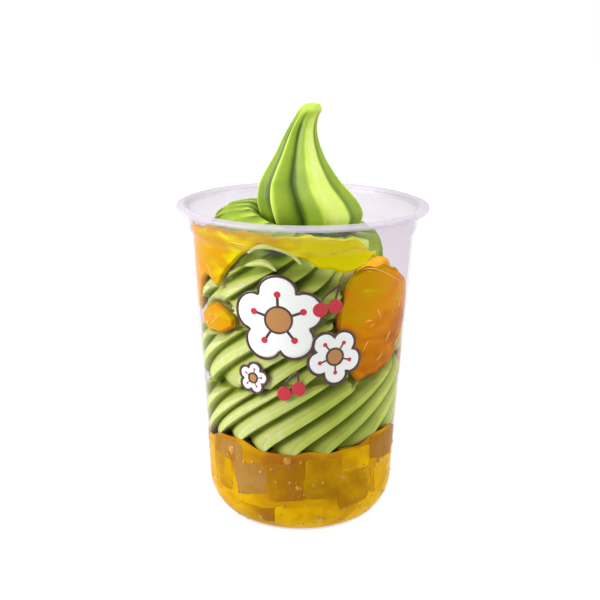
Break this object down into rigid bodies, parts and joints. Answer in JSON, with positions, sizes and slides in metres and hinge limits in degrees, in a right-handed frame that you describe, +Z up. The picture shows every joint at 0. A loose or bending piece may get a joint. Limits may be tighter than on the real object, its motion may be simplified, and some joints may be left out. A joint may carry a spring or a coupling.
{
  "type": "soft-serve sundae in a clear cup",
  "caption": "Green soft-serve swirl with a curled peak, over amber jelly, with fruit jam on the wall of a clear round-bottomed plastic cup.",
  "frame": {"origin": "centre of the cup's base, on the surface that it stands on", "axes": "+Z up along the cup's axis, -Y to the front, where the print is, +X to the right"},
  "size_m": [0.095, 0.095, 0.1603],
  "materials": {
    "cup_plastic": "clear injection-moulded polypropylene, slightly milky at the rim, with a small one-colour-at-a-time surface print at the front",
    "jelly": "clear amber jelly with small air bubbles",
    "soft_serve": "smooth frozen cream, satin, with a little frost",
    "jam": "wet translucent fruit jam, glossy",
    "mango": "wet fruit flesh"
  },
  "bodies": {
    "root": {"cup": "cup_plastic", "jelly": "jelly", "soft_serve": "soft_serve", "jam_right": "jam", "jam_top": "jam", "jam_left": "jam", "jam_back_right": "jam", "mango_piece": "mango"}
  },
  "joints": []
}
